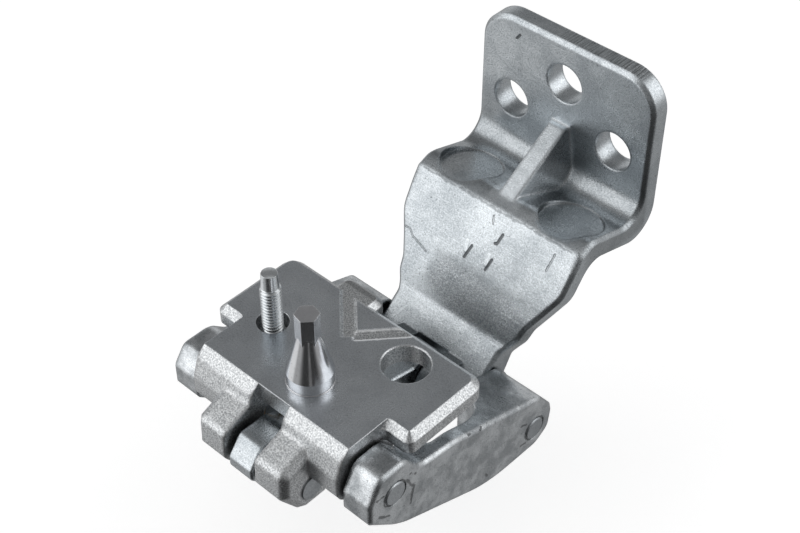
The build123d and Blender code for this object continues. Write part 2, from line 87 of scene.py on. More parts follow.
# Rim of the cast V's right bar in the plate's top, and the heights of the fine surfaces, in millimetres
# The rim is raised a little and coloured as a painted highlight
VEE_RIM = [(2.0, 11.2, -0.1), (15.6, 26.4, -0.1), (12.0, 29.6, -0.6), (-1.6, 14.4, -0.6), (2.0, 11.2, -0.1)]
VEE_RIM_WIDTH = 0.85
VEE_RIM_HEIGHT = 0.12
SAND_HEIGHT = 0.07
GROUND_HEIGHT = 0.006
TOOL_RING_HEIGHT = 0.004

# Marks on the arm, as lines between places, with their widths and depths in millimetres
CHISEL_TICKS = [
    [(-3.6, 82.2, -4.2), (-5.0, 79.3, -9.0)],
    [(7.0, 81.8, -4.8), (5.9, 79.2, -9.0)],
    [(7.2, 87.5, 4.5), (6.3, 85.3, 0.8), (5.4, 85.1, 0.6)],
    [(-24.1, 129.0, 59.7), (-22.5, 129.0, 61.9)],
]
TICK_WIDTH = 0.72
TICK_DEPTH = 0.25
TICK_BURRS = [
    [(-6.4, 82.6, -3.6), (-5.6, 80.8, -6.6)],
    [(5.0, 82.2, -4.2), (5.4, 80.4, -7.2)],
]
BURR_WIDTH = 1.3
BURR_HEIGHT = 0.12
FORGING_LAPS = [
    [
        (-35.7, 78.4, -10.3), (-33.0, 78.5, -10.2), (-30.3, 77.4, -12.1),
        (-25.9, 76.7, -13.2), (-22.0, 76.0, -14.2),
    ],
    [(0.3, 90.0, 8.5), (1.3, 88.4, 6.0)],
    [(31.0, 89.4, 7.6), (30.2, 85.6, 1.4)],
]
LAP_WIDTH = 0.5
FOLD_LINE = [[(-38.0, *ARM_FOLD), (37.0, *ARM_FOLD)]]
FOLD_WIDTH = 0.7
# A grainy patch of painted shade low on the arm's wall
WALL_SHADE_LINE = [[(-8.0, 73.0, -19.0), (27.0, 71.0, -21.0)]]
WALL_SHADE_WIDTH = 13.5
SHEAR_DEPTH = 0.08

# Dents that riveting left on the right lever's outer side, and the rings round the pin ends, likewise
RIVETING_CUTS = [
    [
        (50.5, -13.4, -16.7), (50.5, -11.9, -19.7), (50.5, -10.0, -22.9),
        (50.5, -11.0, -26.9), (50.5, -11.5, -31.2),
    ],
    [(50.5, -27.0, -24.6), (50.5, -22.4, -28.2)],
    [(50.5, -28.6, -14.9), (50.5, -25.2, -15.4)],
    [(50.5, 50.4, -42.0), (50.5, 53.2, -43.0)],
    [(50.5, 50.5, -53.2), (50.5, 53.4, -54.2)],
    [(50.1, 26.0, -23.6), (50.1, 26.7, -23.4)],
    [(50.0, 19.6, -21.3), (50.0, 20.4, -21.3)],
    [(50.5, 30.2, -52.4), (50.5, 31.2, -53.4)],
    [(50.5, -11.8, -15.0), (50.5, -11.2, -15.2)],
    [(50.5, -9.3, -16.8), (50.5, -8.9, -17.0)],
]
CUT_WIDTH = 0.75
CUT_DEPTH = 0.2
RIVET_RING_RADIUS = PIN_RADIUS + 0.2
RIVET_RING_WIDTH = 0.6

# Light and dark tones of each finish
ARM_LIGHT, ARM_DARK = (0.76, 0.8, 0.83), (0.34, 0.375, 0.4)
LEVER_LIGHT, LEVER_DARK = (0.8, 0.83, 0.855), (0.3, 0.323, 0.34)
PIN_LIGHT, PIN_DARK = (0.6, 0.63, 0.655), (0.34, 0.365, 0.385)
STUD_LIGHT, STUD_DARK = (0.83, 0.86, 0.88), (0.62, 0.65, 0.67)
GROUND_LIGHT, GROUND_DARK = (0.8, 0.84, 0.88), (0.46, 0.49, 0.52)
CAST_LIGHT, CAST_DARK = (0.9, 0.92, 0.93), (0.38, 0.395, 0.41)
# The worn tones lighten edges, as wear and as a painted highlight; the rim tone is a painted highlight
CAST_WORN_AND_HIGHLIGHT, CAST_RIM_HIGHLIGHT = (0.92, 0.925, 0.93), (0.86, 0.88, 0.89)
# The dirt tone darkens corners as dirt and painted shade; the rear tone is painted shade on the rear ledge
CAST_PIT, CAST_DIRT_AND_SHADE, CAST_REAR_SHADE = (0.14, 0.145, 0.15), (0.07, 0.072, 0.075), (0.2, 0.205, 0.21)
TAPER_LIGHT, TAPER_DARK = (0.8, 0.81, 0.83), (0.7, 0.705, 0.73)
TAPER_WORN_AND_HIGHLIGHT, TAPER_PIT = (0.95, 0.95, 0.97), (0.3, 0.3, 0.32)
BRONZE_LIGHT, BRONZE_DARK = (0.58, 0.42, 0.22), (0.4, 0.27, 0.13)
WHITE = (1.0, 1.0, 1.0)

# Grain size of the plating, how much of each coat shows, and its tone as a share of the light or dark one
PLATING_GRAIN = 1900.0
PIT_SHARE, PIT_TONE = 0.55, 0.3
SCRATCH_SHARE, SCRATCH_TONE = 0.3, 1.25
# Edges lighter, from wear and from a painted highlight
WORN_AND_HIGHLIGHT_SHARE, WORN_AND_HIGHLIGHT_TONE = 0.3, 1.2
# Corners and gaps darker, from dirt and from painted shade
DIRT_AND_SHADE_SHARE, DIRT_AND_SHADE_TONE = 0.75, 0.16
# Light marks are painted highlights; dark marks are real marks and, on the arm, painted shade too
HIGHLIGHT_MARK_SHARE, HIGHLIGHT_MARK_TONE = 0.4, 1.2
DARK_MARK_SHARE, DARK_MARK_TONE = 0.85, 0.1

# What the metal mirrors: directions and brightness
WALL_LEVEL, CEILING_LEVEL, OVERHEAD_LEVEL = 0.6, 0.21, 0.45
TABLE_LEVEL, PALE_TABLE_LEVEL, PALE_TABLE = 0.36, 0.75, (-0.8, -0.5, -0.33)
LEFT_WALL_LEVEL, LEFT_WALL = 1.38, (-0.48, -0.74, 0.42)
RIGHT_WALL_LEVEL, RIGHT_WALL = 1.5, (0.72, 0.5, 0.5)
SHADE_BELOW, SHADE_ABOVE, DARK_SIDE = 0.04, 0.2, (0.73, -0.685, 0.0)
GLINT_LEVEL, GLINT = 0.2, (0.7, -0.655, -0.3)
PLAIN_LEVEL = 0.5

# How far in millimetres the floor lies below the closed hinge, so that the opened plate hangs clear of it
PLATE_DROP = 58.0
# The floor's half width in metres, its tone and its glow for the camera
FLOOR_REACH = 6.0
FLOOR_TONE = (0.93, 0.93, 0.93)
FLOOR_GLOW = 0.42

# Lamps, and the camera fitted to the photo's edges: metres, with the lens in millimetres, turns in degrees
LAMP_AIM = (0.0, 0.04, -0.01)
LAMP_DISTANCE = 0.9
LAMP_SIZE = 0.7
CAMERA_LENS = 68.96
CAMERA_PLACE = (0.2795, -0.2625, 0.3938)
CAMERA_TURN = (47.43, 0.0, 43.0)

UP = (0.0, 0.0, 1.0)
ACROSS_PINS = (0.0, 1.0, 1.0)
EDGE_SAMPLES = 6


class Graph:
    """Short calls for building a node tree."""

    def __init__(self, tree):
        self.tree = tree

    def node(self, kind, *wires, **settings):
        made = self.tree.nodes.new(kind)
        for key, value in settings.items():
            setattr(made, key, value)
        for socket, value in wires:
            self.wire(made.inputs[socket], value)
        return made

    def wire(self, target, value):
        if isinstance(value, bpy.types.NodeSocket):
            self.tree.links.new(value, target)
        else:
            target.default_value = value

    def math(self, operation, a, b=0.0, clamp=False):
        made = self.node("ShaderNodeMath", (0, a), (1, b), operation=operation, use_clamp=clamp)
        return made.outputs[0]

    def share(self, factor, value):
        return self.math("MULTIPLY", value, factor)

    def both(self, first, *others):
        """Where all the masks hold."""
        for mask in others:
            first = self.math("MULTIPLY", first, mask)
        return first

    def most(self, first, *others):
        """Where any of the masks holds."""
        for mask in others:
            first = self.math("MAXIMUM", first, mask)
        return first

    def span(self, value, low, high, out_low=0.0, out_high=1.0):
        """Smooth step of a value from one range to another."""
        made = self.node(
            "ShaderNodeMapRange", (0, value), (1, low), (2, high), (3, out_low), (4, out_high),
            interpolation_type="SMOOTHSTEP",
        )
        return made.outputs[0]

    def fade(self, value, start, end):
        """Mask that goes from none at the start to full at the end, both in millimetres."""
        return self.span(value, start * MM, end * MM)

    def tint(self, factor, a, b):
        made = self.node("ShaderNodeMix", (0, factor), (6, a), (7, b), data_type="RGBA")
        return made.outputs[2]

    def coat(self, tone, share, mask, colour):
        """The tone with a share of a colour laid over it where the mask holds."""
        return self.tint(self.share(share, mask), tone, colour)

    def blend(self, factor, a, b):
        made = self.node("ShaderNodeMix", (0, factor), (2, a), (3, b), data_type="FLOAT")
        return made.outputs[0]

    def vector(self, operation, a, b=(0.0, 0.0, 0.0)):
        made = self.node("ShaderNodeVectorMath", (0, a), (1, b), operation=operation)
        return made.outputs["Value" if operation in ("DOT_PRODUCT", "LENGTH") else "Vector"]

    def split(self, vector):
        return self.node("ShaderNodeSeparateXYZ", (0, vector)).outputs

    def noise(self, vector, scale, detail=2.0, roughness=0.5):
        made = self.node(
            "ShaderNodeTexNoise",
            ("Vector", vector), ("Scale", scale), ("Detail", detail), ("Roughness", roughness),
        )
        return made.outputs["Fac"]

    def bump(self, height, normal, strength=1.0):
        made = self.node(
            "ShaderNodeBump",
            ("Height", height), ("Normal", normal), ("Distance", 1.0), ("Strength", strength),
        )
        return made.outputs[0]

    def group(self, tree, *wires):
        made = self.node("ShaderNodeGroup", node_tree=tree)
        for socket, value in wires:
            self.wire(made.inputs[socket], value)
        return made.outputs


def node_group(name, takes, gives, fill):
    """A shared effect with named inputs and outputs."""
    tree = bpy.data.node_groups.new(name, "ShaderNodeTree")
    for label, kind in takes:
        tree.interface.new_socket(label, in_out="INPUT", socket_type=kind)
    for label, kind in gives:
        tree.interface.new_socket(label, in_out="OUTPUT", socket_type=kind)
    graph = Graph(tree)
    made = fill(graph, graph.node("NodeGroupInput").outputs)
    graph.node("NodeGroupOutput", *made.items())
    return tree


NUMBER, ARROW = "NodeSocketFloat", "NodeSocketVector"


def fill_rounded_edge(graph, given):
    """The surface direction softened at edges, and where those edges are."""
    soft = graph.node("ShaderNodeBevel", ("Radius", given["Radius"]), samples=EDGE_SAMPLES).outputs[0]
    true = graph.node("ShaderNodeNewGeometry").outputs["Normal"]
    turn = graph.math("SUBTRACT", 1.0, graph.vector("DOT_PRODUCT", soft, true))
    return {"Normal": soft, "Edge": graph.span(turn, 0.02, 0.25)}


def fill_plating_skin(graph, given):
    """Cloudy zinc, its fine grain, small dark pits and the slow waves of the forging die."""
    place = given["Place"]
    aside = graph.vector("ADD", place, (0.31, 0.17, 0.05))
    cloud = graph.noise(place, given["Cloud Scale"], 5.0, 0.62)
    grain = graph.noise(place, given["Grain Scale"], 3.0, 0.65)
    pit = graph.noise(aside, graph.share(0.55, given["Grain Scale"]), 2.0, 0.5)
    return {
        "Cloud": graph.span(cloud, 0.34, 0.66),
        "Grain": graph.span(grain, 0.33, 0.67),
        "Pit": graph.span(pit, 0.64, 0.73),
        "Wave": graph.noise(place, 190.0, 2.0, 0.5),
    }


def fill_scratches(graph, given):
    """Thin scratches from handling, in three directions."""
    total = 0.0
    for turn in ((0.4, 0.3, 0.9), (1.1, 0.2, -0.5), (0.1, 0.9, 2.1)):
        turned = graph.node(
            "ShaderNodeMapping",
            ("Vector", given["Place"]), ("Rotation", turn), ("Scale", (60.0, 1900.0, 1900.0)),
        ).outputs[0]
        total = graph.most(graph.span(graph.noise(turned, 1.0, 1.0, 0.4), 0.7, 0.76), total)
    return {"Scratch": total}


def fill_stroke(graph, given):
    """How near a place is to the straight line from Start to End."""
    run = graph.vector("SUBTRACT", given["End"], given["Start"])
    off = graph.vector("SUBTRACT", given["Place"], given["Start"])
    along, length = graph.vector("DOT_PRODUCT", off, run), graph.vector("DOT_PRODUCT", run, run)
    share = graph.math("DIVIDE", along, length, clamp=True)
    nearest = graph.node("ShaderNodeVectorMath", (0, run), ("Scale", share), operation="SCALE")
    away = graph.vector("LENGTH", graph.vector("SUBTRACT", off, nearest.outputs["Vector"]))
    return {"Mark": graph.span(away, given["Width"], graph.share(0.4, given["Width"]))}


def fill_ring(graph, given):
    """How near a place is to a circle about a pin's axis, which runs along X."""
    off = graph.vector("MULTIPLY", graph.vector("SUBTRACT", given["Place"], given["Centre"]), ACROSS_PINS)
    away = graph.math("ABSOLUTE", graph.math("SUBTRACT", graph.vector("LENGTH", off), given["Radius"]))
    return {"Mark": graph.span(away, given["Width"], 0.0)}


def fill_crevice(graph, given):
    """Where corners and gaps turn darker, from dirt and from painted shade."""
    shut = graph.node("ShaderNodeAmbientOcclusion", ("Distance", given["Reach"]), samples=EDGE_SAMPLES)
    return {"Dark": graph.span(shut.outputs["AO"], 0.72, 0.2)}


rounded_edge = node_group(
    "rounded_edge", [("Radius", NUMBER)], [("Normal", ARROW), ("Edge", NUMBER)], fill_rounded_edge
)
plating_skin = node_group(
    "plating_skin",
    [("Place", ARROW), ("Cloud Scale", NUMBER), ("Grain Scale", NUMBER)],
    [("Cloud", NUMBER), ("Grain", NUMBER), ("Pit", NUMBER), ("Wave", NUMBER)],
    fill_plating_skin,
)
scratches = node_group("scratches", [("Place", ARROW)], [("Scratch", NUMBER)], fill_scratches)
stroke_mark = node_group(
    "stroke_mark",
    [("Place", ARROW), ("Start", ARROW), ("End", ARROW), ("Width", NUMBER)],
    [("Mark", NUMBER)],
    fill_stroke,
)
ring_mark = node_group(
    "ring_mark",
    [("Place", ARROW), ("Centre", ARROW), ("Radius", NUMBER), ("Width", NUMBER)],
    [("Mark", NUMBER)],
    fill_ring,
)
crevice = node_group("crevice", [("Reach", NUMBER)], [("Dark", NUMBER)], fill_crevice)


def metres(point):
    return tuple(value * MM for value in point)


def colour(tone, share=1.0):
    """A tone at a share of its brightness, as an opaque colour."""
    return (*(value * share for value in tone), 1.0)


def empty_graph(owner):
    """The cleared node tree of a material or a world."""
    owner.use_nodes = True
    owner.node_tree.nodes.clear()
    return Graph(owner.node_tree)


class Finish:
    """A new metal material, with the place and the direction of its surface."""

    def __init__(self, name):
        self.material = bpy.data.materials.new(name)
        self.graph = empty_graph(self.material)
        self.shader = self.graph.node("ShaderNodeBsdfPrincipled", ("Metallic", 1.0))
        self.graph.node("ShaderNodeOutputMaterial", (0, self.shader.outputs[0]))
        where = self.graph.node("ShaderNodeTexCoord").outputs
        self.place, self.facing = where["Object"], where["Normal"]

    def feed(self, socket, value):
        self.graph.wire(self.shader.inputs[socket], value)

    def edge(self, radius):
        return self.graph.group(rounded_edge, ("Radius", radius))

    def skin(self, cloud_scale, grain_scale):
        return self.graph.group(
            plating_skin, ("Place", self.place), ("Cloud Scale", cloud_scale), ("Grain Scale", grain_scale)
        )

    # Corners and gaps darker, from dirt and from painted shade
    def dirt_and_shade(self, reach):
        return self.graph.group(crevice, ("Reach", reach * MM))["Dark"]

    def scratch(self):
        return self.graph.group(scratches, ("Place", self.place))["Scratch"]

    def facing_up(self, low, high):
        """Mask of the faces that look up, by the cosine of their tilt."""
        return self.graph.span(self.graph.vector("DOT_PRODUCT", self.facing, UP), low, high)


def strokes(graph, place, lines, width):
    """Lines of the given width in millimetres, joined to one mask."""
    total = 0.0
    for line in lines:
        for start, end in zip(line, line[1:]):
            mark = graph.group(
                stroke_mark,
                ("Place", place), ("Start", metres(start)), ("End", metres(end)), ("Width", width * MM),
            )["Mark"]
            total = graph.most(mark, total)
    return total


def shaken(graph, place, scale, reach):
    """The place moved about within the reach, so that a drawn line comes out uneven."""
    sway = graph.node("ShaderNodeTexNoise", ("Vector", place), ("Scale", scale), ("Detail", 2.0))
    sway = graph.vector("SUBTRACT", sway.outputs["Color"], (0.5, 0.5, 0.5))
    return graph.vector("ADD", place, graph.vector("MULTIPLY", sway, (reach * MM,) * 3))


class Marks:
    """What a piece carries beside its plating: dark places, among them painted shade, light places, which
    are painted highlights, and a rise of the surface.
    """

    def __init__(self, dark, light, rise):
        self.dark, self.light, self.rise = dark, light, rise


def plated_steel(
    name, light, dark, rough, edge_radius, grain_height, wave_height,
    dirt_and_shade_reach=3.0, clouded=0.4, cloud_scale=55.0, marked=None, softer=None,
):
    """Zinc plating over forged or turned steel. Radius, heights and reach are in millimetres."""
    finish = Finish(name)
    graph = finish.graph
    edge = finish.edge(edge_radius * MM if softer is None else softer(finish, edge_radius))
    skin = finish.skin(cloud_scale, PLATING_GRAIN)
    mix = graph.math("ADD", graph.share(clouded, skin["Cloud"]), graph.share(1.0 - clouded, skin["Grain"]))
    tone = graph.tint(mix, colour(dark), colour(light))
    tone = graph.coat(tone, PIT_SHARE, skin["Pit"], colour(dark, PIT_TONE))
    tone = graph.coat(tone, SCRATCH_SHARE, finish.scratch(), colour(light, SCRATCH_TONE))
    # Edges lighter: wear and a painted highlight
    tone = graph.coat(tone, WORN_AND_HIGHLIGHT_SHARE, edge["Edge"], colour(light, WORN_AND_HIGHLIGHT_TONE))
    # Corners and gaps darker: dirt and painted shade
    tone = graph.coat(tone, DIRT_AND_SHADE_SHARE, finish.dirt_and_shade(dirt_and_shade_reach), colour(dark, DIRT_AND_SHADE_TONE))
    grain, wave = graph.share(grain_height * MM, skin["Grain"]), graph.share(wave_height * MM, skin["Wave"])
    height = graph.math("ADD", grain, wave)
    if marked is not None:
        marks = marked(finish)
        if marks.light is not None:
            # Painted highlights
            tone = graph.coat(tone, HIGHLIGHT_MARK_SHARE, marks.light, colour(light, HIGHLIGHT_MARK_TONE))
        # Dark marks: ticks, laps, dents and rings, and on the arm painted shade as well
        tone = graph.coat(tone, DARK_MARK_SHARE, marks.dark, colour(dark, DARK_MARK_TONE))
        height = graph.math("ADD", height, marks.rise)
    finish.feed("Base Color", tone)
    finish.feed("Roughness", graph.blend(mix, rough + 0.09, rough - 0.05))
    finish.feed("Normal", graph.bump(height, edge["Normal"]))
    return finish.material


def soft_round_arm(finish, plain_radius):
    """The arm's edge radius in metres: wide about the fold and about the rib, which runs into the ledge."""
    graph = finish.graph
    spot = graph.split(finish.place)
    off_fold = graph.vector("SUBTRACT", finish.place, metres((0, *ARM_FOLD)))
    by_fold = graph.fade(graph.vector("LENGTH", graph.vector("MULTIPLY", off_fold, ACROSS_PINS)), 9.0, 3.0)
    by_rib = graph.both(
        graph.fade(graph.math("ABSOLUTE", spot["X"]), 15.0, 8.0),
        graph.fade(spot["Y"], 95.0, 98.0),
        graph.fade(spot["Z"], 36.0, 31.0),
    )
    radius = graph.blend(by_rib, plain_radius * MM, ARM_RIB_ROUND * MM)
    return graph.blend(by_fold, radius, ARM_FOLD_ROUND * MM)


def soft_round_ears(finish):
    """The plate's edge radius in metres: wide on the ears."""
    graph = finish.graph
    on_ears = graph.fade(graph.split(finish.place)["Y"], -28.0, -31.0)
    return graph.blend(on_ears, PLATE_EDGE * MM, EAR_ROUND * MM)


def ground_plate():
    """Door plate: ground flat on top, sandy from the mould elsewhere."""
    finish = Finish("ground_plate")
    graph, place = finish.graph, finish.place
    edge = finish.edge(soft_round_ears(finish))
    skin = finish.skin(cloud_scale=45.0, grain_scale=1700.0)
    spot = graph.split(place)
    top = graph.both(finish.facing_up(0.97, 0.995), graph.fade(spot["Z"], -0.4, -0.1))
    # The rear ledge, which gets painted shade
    rear_shade = graph.fade(spot["Y"], 31.0, 32.0)
    in_front = graph.math("SUBTRACT", 1.0, rear_shade)
    rim = strokes(graph, shaken(graph, place, 500.0, 0.5), [VEE_RIM], VEE_RIM_WIDTH)
    mix = graph.math("ADD", graph.share(0.45, skin["Cloud"]), graph.share(0.55, skin["Grain"]))
    ground = graph.tint(mix, colour(GROUND_DARK), colour(GROUND_LIGHT))
    cast = graph.tint(skin["Grain"], colour(CAST_DARK), colour(CAST_LIGHT))
    tone = graph.tint(top, cast, ground)
    tone = graph.coat(tone, 0.3, skin["Pit"], colour(CAST_PIT))
    # Corners and gaps darker: dirt and painted shade
    tone = graph.coat(tone, 0.75, finish.dirt_and_shade(3.5), colour(CAST_DIRT_AND_SHADE))
    # Painted shade on the rear ledge
    tone = graph.coat(tone, 0.5, rear_shade, colour(CAST_REAR_SHADE))
    # Front edges lighter: wear and a painted highlight
    tone = graph.coat(tone, 0.45, graph.both(edge["Edge"], in_front), colour(CAST_WORN_AND_HIGHLIGHT))
    # Painted highlight along the V's rim
    tone = graph.coat(tone, 0.8, rim, colour(CAST_RIM_HIGHLIGHT))
    sand = graph.noise(place, 1500.0, 3.0, 0.6)
    rise = graph.both(sand, graph.blend(top, SAND_HEIGHT * MM, GROUND_HEIGHT * MM))
    rise = graph.math("ADD", rise, graph.share(VEE_RIM_HEIGHT * MM, rim))
    finish.feed("Base Color", tone)
    finish.feed("Metallic", graph.blend(rim, 1.0, 0.35))
    finish.feed("Roughness", graph.blend(top, 0.4, graph.blend(mix, 0.34, 0.25)))
    finish.feed("Normal", graph.bump(rise, edge["Normal"]))
    return finish.material


def polished_taper():
    """Locating pin: turned and polished, with faint rings left by the tool."""
    finish = Finish("polished_taper")
    graph = finish.graph
    edge = finish.edge(TAPER_EDGE * MM)
    skin = finish.skin(cloud_scale=120.0, grain_scale=1600.0)
    tone = graph.tint(skin["Cloud"], colour(TAPER_DARK), colour(TAPER_LIGHT))
    # Edges lighter: wear and a painted highlight
    tone = graph.coat(tone, 0.5, edge["Edge"], colour(TAPER_WORN_AND_HIGHLIGHT))
    tone = graph.coat(tone, 0.3, skin["Pit"], colour(TAPER_PIT))
    rings = graph.noise(graph.vector("MULTIPLY", finish.place, (0.05, 0.05, 1.0)), 5200.0, 2.0, 0.6)
    finish.feed("Base Color", tone)
    finish.feed("Roughness", graph.blend(skin["Cloud"], 0.19, 0.12))
    finish.feed("Normal", graph.bump(graph.share(TOOL_RING_HEIGHT * MM, rings), edge["Normal"], 0.6))
    return finish.material


def bearing_bronze():
    finish = Finish("bearing_bronze")
    skin = finish.skin(cloud_scale=150.0, grain_scale=2200.0)
    finish.feed("Base Color", finish.graph.tint(skin["Cloud"], colour(BRONZE_DARK), colour(BRONZE_LIGHT)))
    finish.feed("Roughness", finish.graph.blend(skin["Grain"], 0.3, 0.45))
    return finish.material


def sheared_ribs(finish):
    """Fine ribs that the shear left on the right half of the foot's top edge."""
    graph = finish.graph
    spot = graph.split(finish.place)
    sheared = graph.both(
        finish.facing_up(0.85, 0.97), graph.fade(spot["Z"], 66.5, 67.5), graph.fade(spot["X"], -14.0, 4.0)
    )
    ribs = graph.noise(graph.vector("MULTIPLY", finish.place, (1.0, 0.03, 0.03)), 1500.0, 1.0, 0.4)
    return graph.both(graph.span(ribs, 0.4, 0.6), sheared)


def painted_wall_shade(finish):
    """Painted shade: a grainy dark patch low on the arm's wall."""
    graph, place = finish.graph, finish.place
    patch = strokes(graph, shaken(graph, place, 90.0, 9.0), WALL_SHADE_LINE, WALL_SHADE_WIDTH)
    return graph.both(patch, graph.span(graph.noise(place, 1500.0, 3.0, 0.65), 0.3, 0.62, 0.15, 0.62))


def arm_marks(finish):
    """Ticks, burrs lit by a painted highlight, laps, the dark fold, painted shade low on the wall, on the
    ledge and on the neck, a painted highlight on the rib, and the sheared edge.
    """
    graph, place = finish.graph, finish.place
    spot = graph.split(place)
    ticks = strokes(graph, place, CHISEL_TICKS, TICK_WIDTH)
    burrs = strokes(graph, place, TICK_BURRS, BURR_WIDTH)
    laps = strokes(graph, shaken(graph, place, 900.0, 0.7), FORGING_LAPS, LAP_WIDTH)
    fold = strokes(graph, shaken(graph, place, 260.0, 2.4), FOLD_LINE, FOLD_WIDTH)
    topside = graph.both(graph.fade(spot["Y"], 133.0, 130.5), graph.fade(spot["Z"], -1.0, 3.0))
    ledge = graph.both(graph.fade(spot["Y"], 92.0, 99.0), graph.fade(spot["Z"], 40.0, 14.0), topside)
    # Painted highlight on the rib
    rib = graph.both(graph.fade(graph.math("ABSOLUTE", spot["X"]), 8.5, 6.0), ledge)
    # Painted shade in the ledge's recess
    ledge_shade = graph.math("SUBTRACT", ledge, rib)
    # Painted shade, darker towards the bottom of the neck
    neck_shade = graph.fade(spot["Z"], -20.0, -34.0)
    sheared = sheared_ribs(finish)
    dark = graph.most(
        graph.share(0.9, ticks), graph.share(0.25, laps), graph.share(0.5, fold), painted_wall_shade(finish),
        graph.share(0.38, ledge_shade), graph.share(0.32, neck_shade), graph.share(0.55, sheared),
    )
    cut = graph.share(TICK_DEPTH * MM, graph.most(ticks, laps))
    rise = graph.math("SUBTRACT", graph.share(BURR_HEIGHT * MM, burrs), cut)
    rise = graph.math("SUBTRACT", rise, graph.share(SHEAR_DEPTH * MM, sheared))
    return Marks(dark, graph.most(burrs, rib), rise)


def lever_marks(finish):
    """Riveting marks round the pin ends and dents on the lever's outer side."""
    graph = finish.graph
    uneven = shaken(graph, finish.place, 420.0, 1.6)
    outer = graph.fade(graph.math("ABSOLUTE", graph.split(finish.place)["X"]), 49.0, 50.2)
    dark = graph.share(0.75, strokes(graph, uneven, RIVETING_CUTS, CUT_WIDTH))
    for axis in (LEVER_FRONT, LEVER_REAR):
        ring = graph.group(
            ring_mark,
            ("Place", uneven), ("Centre", metres((0, *axis))),
            ("Radius", RIVET_RING_RADIUS * MM), ("Width", RIVET_RING_WIDTH * MM),
        )["Mark"]
        dark = graph.most(dark, graph.both(graph.share(0.95, ring), outer))
    return Marks(dark, None, graph.share(-CUT_DEPTH * MM, dark))


def smooth(mesh, sharp_angle):
    """Smooth shading, with edges sharper than the angle in degrees kept."""
    for face in mesh.polygons:
        face.use_smooth = True
    mesh.set_sharp_from_angle(angle=math.radians(sharp_angle))


def paint(finish, *names):
    for name in names:
        mesh = nodes[name].data
        mesh.materials.clear()
        mesh.materials.append(finish)
        smooth(mesh, sharp_angle=28)


def add_to_scene(name, data):
    thing = bpy.data.objects.new(name, data)
    bpy.context.scene.collection.objects.link(thing)
    return thing


arm_zinc = plated_steel(
    "forged_arm_zinc", ARM_LIGHT, ARM_DARK, rough=0.27,
    edge_radius=ARM_EDGE, grain_height=0.013, wave_height=0.09, marked=arm_marks, softer=soft_round_arm,
)
lever_zinc = plated_steel(
    "forged_lever_zinc", LEVER_LIGHT, LEVER_DARK, rough=0.25,
    edge_radius=2.1, grain_height=0.013, wave_height=0.16,
    clouded=0.62, cloud_scale=130.0, marked=lever_marks,
)
link_zinc = plated_steel(
    "centre_link_zinc", ARM_LIGHT, ARM_DARK, rough=0.24,
    edge_radius=0.9, grain_height=0.01, wave_height=0.06,
)
pin_zinc = plated_steel(
    "rivet_pin_zinc", PIN_LIGHT, PIN_DARK, rough=0.36,
    edge_radius=0.4, grain_height=0.015, wave_height=0.05,
)
washer_zinc = plated_steel(
    "washer_zinc", PIN_LIGHT, PIN_DARK, rough=0.34,
    edge_radius=0.2, grain_height=0.01, wave_height=0.02,
)
stud_zinc = plated_steel(
    "stud_zinc", STUD_LIGHT, STUD_DARK, rough=0.2,
    edge_radius=0.05, grain_height=0.003, wave_height=0.0, dirt_and_shade_reach=0.9,
)

paint(arm_zinc, "gooseneck_arm")
paint(lever_zinc, "left_lever", "right_lever")
paint(link_zinc, "centre_link")
paint(ground_plate(), "door_plate")
paint(polished_taper(), "taper_locating_pin")
paint(stud_zinc, "threaded_stud")
paint(
    bearing_bronze(),
    "left_front_bush", "right_front_bush", "left_rear_bush", "right_rear_bush", "link_front_bush",
)
paint(washer_zinc, "left_front_washer", "right_front_washer", "left_rear_washer", "right_rear_washer")
paint(
    pin_zinc,
    "left_front_pin", "right_front_pin", "left_rear_pin", "right_rear_pin", "ear_pin", "link_rear_pin",
)


def thread_radius(height, crest):
    """The thread's radius at a height, fading into the plain stud at both of its ends."""
    radius = THREAD_MINOR + (THREAD_MAJOR - THREAD_MINOR) * crest
    run_out = min(max((height - (THREAD_TOP - THREAD_FADE)) / THREAD_FADE, 0.0), 1.0)
    run_in = min(max((STUD_RECESS + THREAD_FADE - height) / THREAD_FADE, 0.0), 1.0)
    return radius + (POINT_BASE_RADIUS - radius) * max(run_out, run_in)


def wind_thread(mesh, angles):
    """The thread's helix, one row of points for each step of each turn."""
    rows = []
    first = math.floor(STUD_RECESS / THREAD_PITCH) - 2
    last = math.ceil(THREAD_TOP / THREAD_PITCH) + 1
    for turn in range(first, last):
        for share, crest in THREAD_STEPS:
            row = []
            for j, angle in enumerate(angles):
                height = THREAD_PITCH * (turn + share + j / len(angles))
                height = min(max(height, STUD_RECESS), THREAD_TOP)
                radius = thread_radius(height, crest)
                row.append(mesh.verts.new((radius * math.cos(angle), radius * math.sin(angle), height)))
            rows.append(row)
    for k in range(len(rows) - 1):
        for j in range(len(angles)):
            # The last column joins the first one a whole turn further on
            wraps = j + 1 == len(angles)
            over = k + len(THREAD_STEPS) if wraps else k
            column = 0 if wraps else j + 1
            if over + 1 < len(rows):
                mesh.faces.new((rows[k][j], rows[over][column], rows[over + 1][column], rows[k + 1][j]))
    bmesh.ops.remove_doubles(mesh, verts=mesh.verts, dist=1e-6)
    bmesh.ops.dissolve_degenerate(mesh, edges=mesh.edges, dist=1e-6)
    stray = [v for v in mesh.verts if not v.link_faces]
    bmesh.ops.delete(mesh, geom=stray, context="VERTS")


def turn_profile(mesh, angles, profile):
    """A turned skin along a profile of (radius, height), closed at its far end."""
    rings = [[mesh.verts.new((r * math.cos(a), r * math.sin(a), z)) for a in angles] for r, z in profile]
    for low, high in zip(rings, rings[1:]):
        for j in range(len(angles)):
            i = (j + 1) % len(angles)
            mesh.faces.new((low[j], low[i], high[i], high[j]))
    mesh.faces.new(rings[-1])


